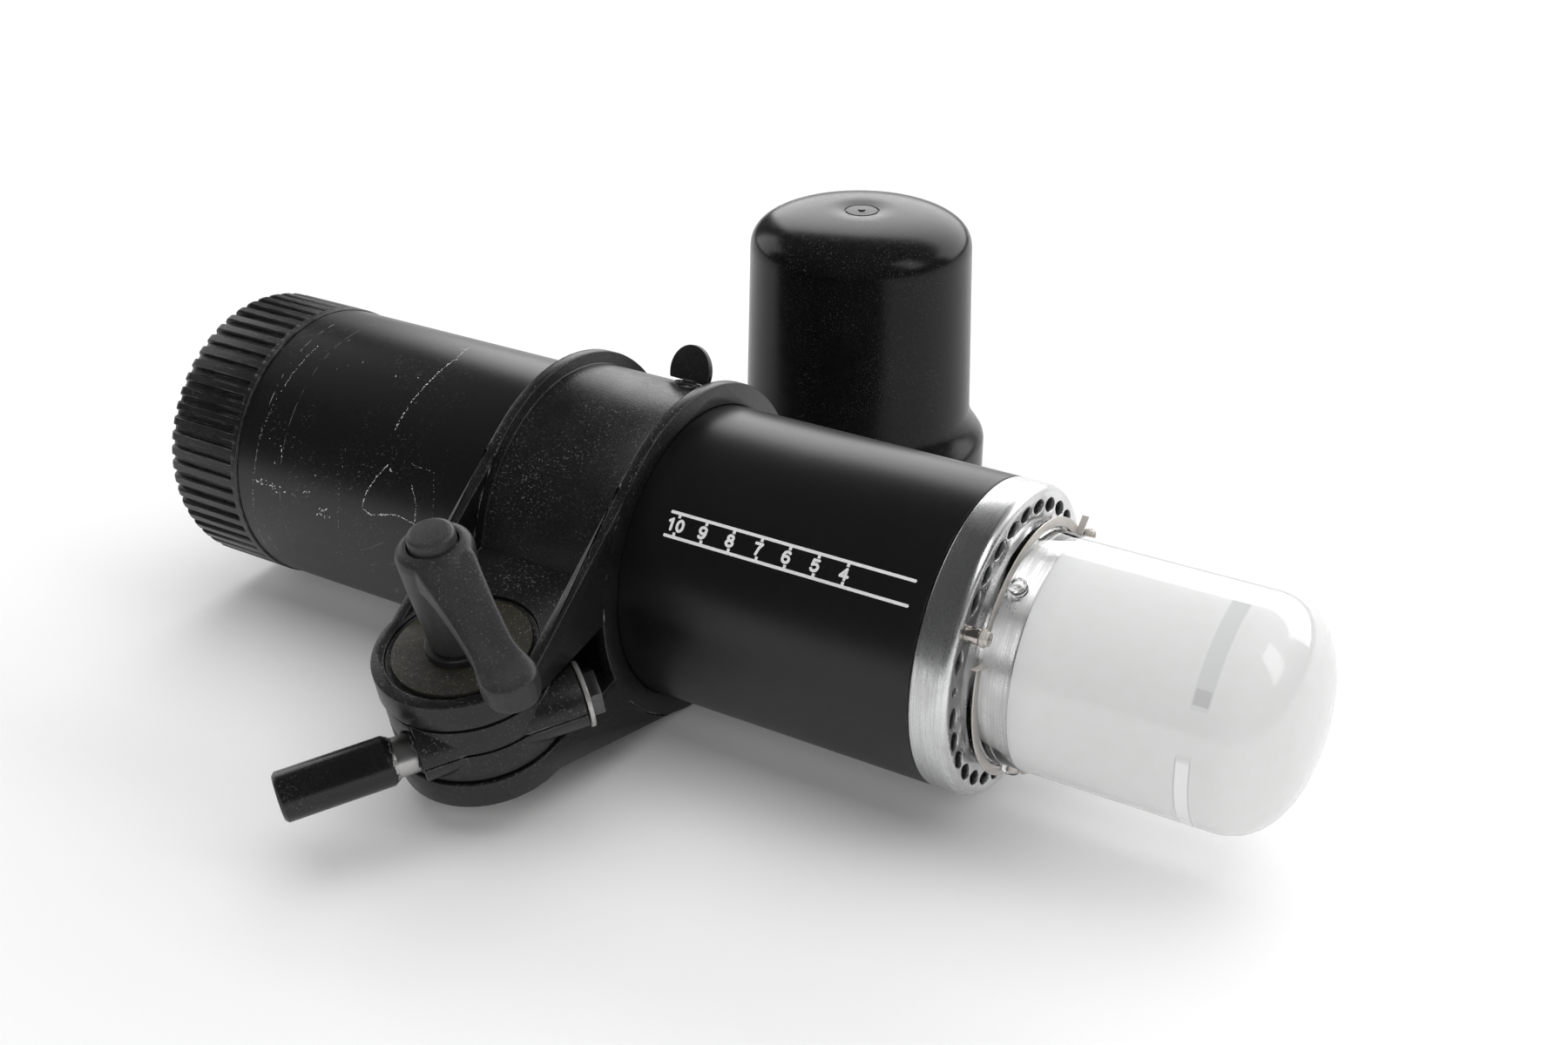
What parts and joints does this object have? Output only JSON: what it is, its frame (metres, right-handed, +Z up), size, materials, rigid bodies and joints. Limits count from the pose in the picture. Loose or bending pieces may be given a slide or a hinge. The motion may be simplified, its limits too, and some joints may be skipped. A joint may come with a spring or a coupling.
{
  "type": "studio flash head",
  "caption": "Cylindrical studio flash head with a frosted glass dome, a tilting stand bracket with clamp lever and stand stud, and a separate transport cap.",
  "frame": {"origin": "on the body axis, at the joint between the black tube and the polished front ring", "axes": "+X along the body axis towards the glass dome, +Z up, and the stand bracket on the -Y side"},
  "size_m": [0.411, 0.3655, 0.1262],
  "materials": {
    "black_tube": "satin black paint",
    "polished_ring": "polished aluminium",
    "bright_dish": "bright anodised",
    "frosted_glass": "frosted with clear foot and windows",
    "clear_glass": "clear quartz",
    "lamp_glass": "clear halogen bulb",
    "plated_steel": "zinc plated",
    "spring_steel": "bright spring steel",
    "ceramic": "glazed ceramic",
    "sheet_metal": "plain sheet",
    "black_plastic": "matte black",
    "capacitor_can": "blue sleeve",
    "board_green": "green lacquer",
    "electronics_grey": "dark grey",
    "copper_winding": "lacquered copper",
    "ribbed_plastic": "satin black",
    "panel_black": "fine texture",
    "dark_screw": "blackened steel",
    "red_plastic": "gloss red",
    "dial_plastic": "satin dark grey",
    "red_lens": "dark red lens",
    "green_lens": "green lens",
    "cradle_plastic": "moulded black, fine grain",
    "olive_fibre": "olive fibre",
    "swivel_black": "satin black",
    "stud_black": "black oxide",
    "galvanised": "galvanised",
    "lever_plastic": "glass filled nylon",
    "lever_button_plastic": "dark grey",
    "cap_plastic": "semi gloss black"
  },
  "bodies": {
    "housing": {"body_tube": "black_tube", "cooling_ring": "polished_ring", "reflector_dish": "bright_dish", "glass_dome": "frosted_glass", "glass_posts": "plated_steel", "glass_springs": "spring_steel", "post_screws": "plated_steel", "flash_tube": "clear_glass", "flash_tube_sockets": "ceramic", "modelling_lamp": "lamp_glass", "lamp_socket": "ceramic", "front_bulkhead": "sheet_metal", "tie_rods": "plated_steel", "capacitor_plate": "black_plastic", "capacitors": "capacitor_can", "circuit_board": "board_green", "board_parts": "electronics_grey", "transformer": "copper_winding", "fan_frame": "black_plastic", "rear_ring": "ribbed_plastic", "rear_panel": "panel_black", "panel_screws": "dark_screw", "mains_inlet": "black_plastic", "inlet_pins": "plated_steel", "fuse_caps": "black_plastic", "switch_frame": "black_plastic", "sync_socket": "plated_steel", "photocell": "red_lens", "ready_lamps": "green_lens"},
    "fan": {"fan_rotor": "black_plastic"},
    "rocker": {"power_rocker": "red_plastic"},
    "flash_knob": {"flash_dial": "dial_plastic"},
    "lamp_knob": {"lamp_dial": "dial_plastic"},
    "test_key": {"test_button": "red_plastic"},
    "cradle": {"cradle": "cradle_plastic", "friction_washer": "olive_fibre", "clamp_washer": "plated_steel", "clamp_nut": "plated_steel"},
    "swivel": {"swivel_upper": "swivel_black", "swivel_lower": "swivel_black"},
    "stud": {"stand_stud": "stud_black", "stud_washer": "galvanised", "stud_nut": "dark_screw"},
    "lever": {"clamp_lever": "lever_plastic", "clamp_bolt": "plated_steel", "lever_collar": "stud_black"},
    "lever_key": {"lever_button": "lever_button_plastic"},
    "lock_screw": {"thumbscrew": "stud_black"},
    "travel_cap": {"transport_cap": "cap_plastic"}
  },
  "joints": [
    {"name": "cradle_slide", "type": "slide", "parent": "housing", "child": "cradle", "axis": [1, 0, 0], "range_m": [-0.1, 0.01]},
    {"name": "tilt", "type": "hinge", "parent": "cradle", "child": "swivel", "pos_m": [-0.13175, -0.08803, -0.01871], "axis": [0, -0.2079, 0.9781], "range_deg": [-52, 39]},
    {"name": "stud_turn", "type": "hinge", "parent": "swivel", "child": "stud", "pos_m": [-0.11927, -0.09751, -0.02073], "axis": [0.6129, 0.7729, 0.1643], "continuous": true},
    {"name": "lever_turn", "type": "hinge", "parent": "cradle", "child": "lever", "pos_m": [-0.13175, -0.08803, -0.01871], "axis": [0, -0.2079, 0.9781], "range_deg": [0, 60]},
    {"name": "lever_key_press", "type": "slide", "parent": "lever", "child": "lever_key", "axis": [0, 0.2079, -0.9781], "range_m": [0, 0.003], "stiffness_N_per_m": 600, "springref_m": -0.001},
    {"name": "thumbscrew_turn", "type": "hinge", "parent": "cradle", "child": "lock_screw", "pos_m": [-0.1205, 0.02052, 0.05638], "axis": [0, 0.342, 0.9397], "continuous": true},
    {"name": "fan_spin", "type": "hinge", "parent": "housing", "child": "fan", "pos_m": [-0.03, 0, 0], "axis": [1, 0, 0], "continuous": true},
    {"name": "power_press", "type": "hinge", "parent": "housing", "child": "rocker", "pos_m": [-0.293, -0.027, -0.011], "axis": [0, 1, 0], "range_deg": [0, 16]},
    {"name": "flash_dial_turn", "type": "hinge", "parent": "housing", "child": "flash_knob", "pos_m": [-0.296, -0.02, 0.014], "axis": [-1, 0, 0], "range_deg": [-135, 135]},
    {"name": "lamp_dial_turn", "type": "hinge", "parent": "housing", "child": "lamp_knob", "pos_m": [-0.296, 0.02, 0.014], "axis": [-1, 0, 0], "range_deg": [-135, 135]},
    {"name": "test_press", "type": "slide", "parent": "housing", "child": "test_key", "axis": [1, 0, 0], "range_m": [0, 0.002], "stiffness_N_per_m": 400, "springref_m": -0.001},
    {"name": "cap_lift", "type": "slide", "parent": "housing", "child": "travel_cap", "axis": [0, 0, 1], "range_m": [0, 0.16]}
  ]
}
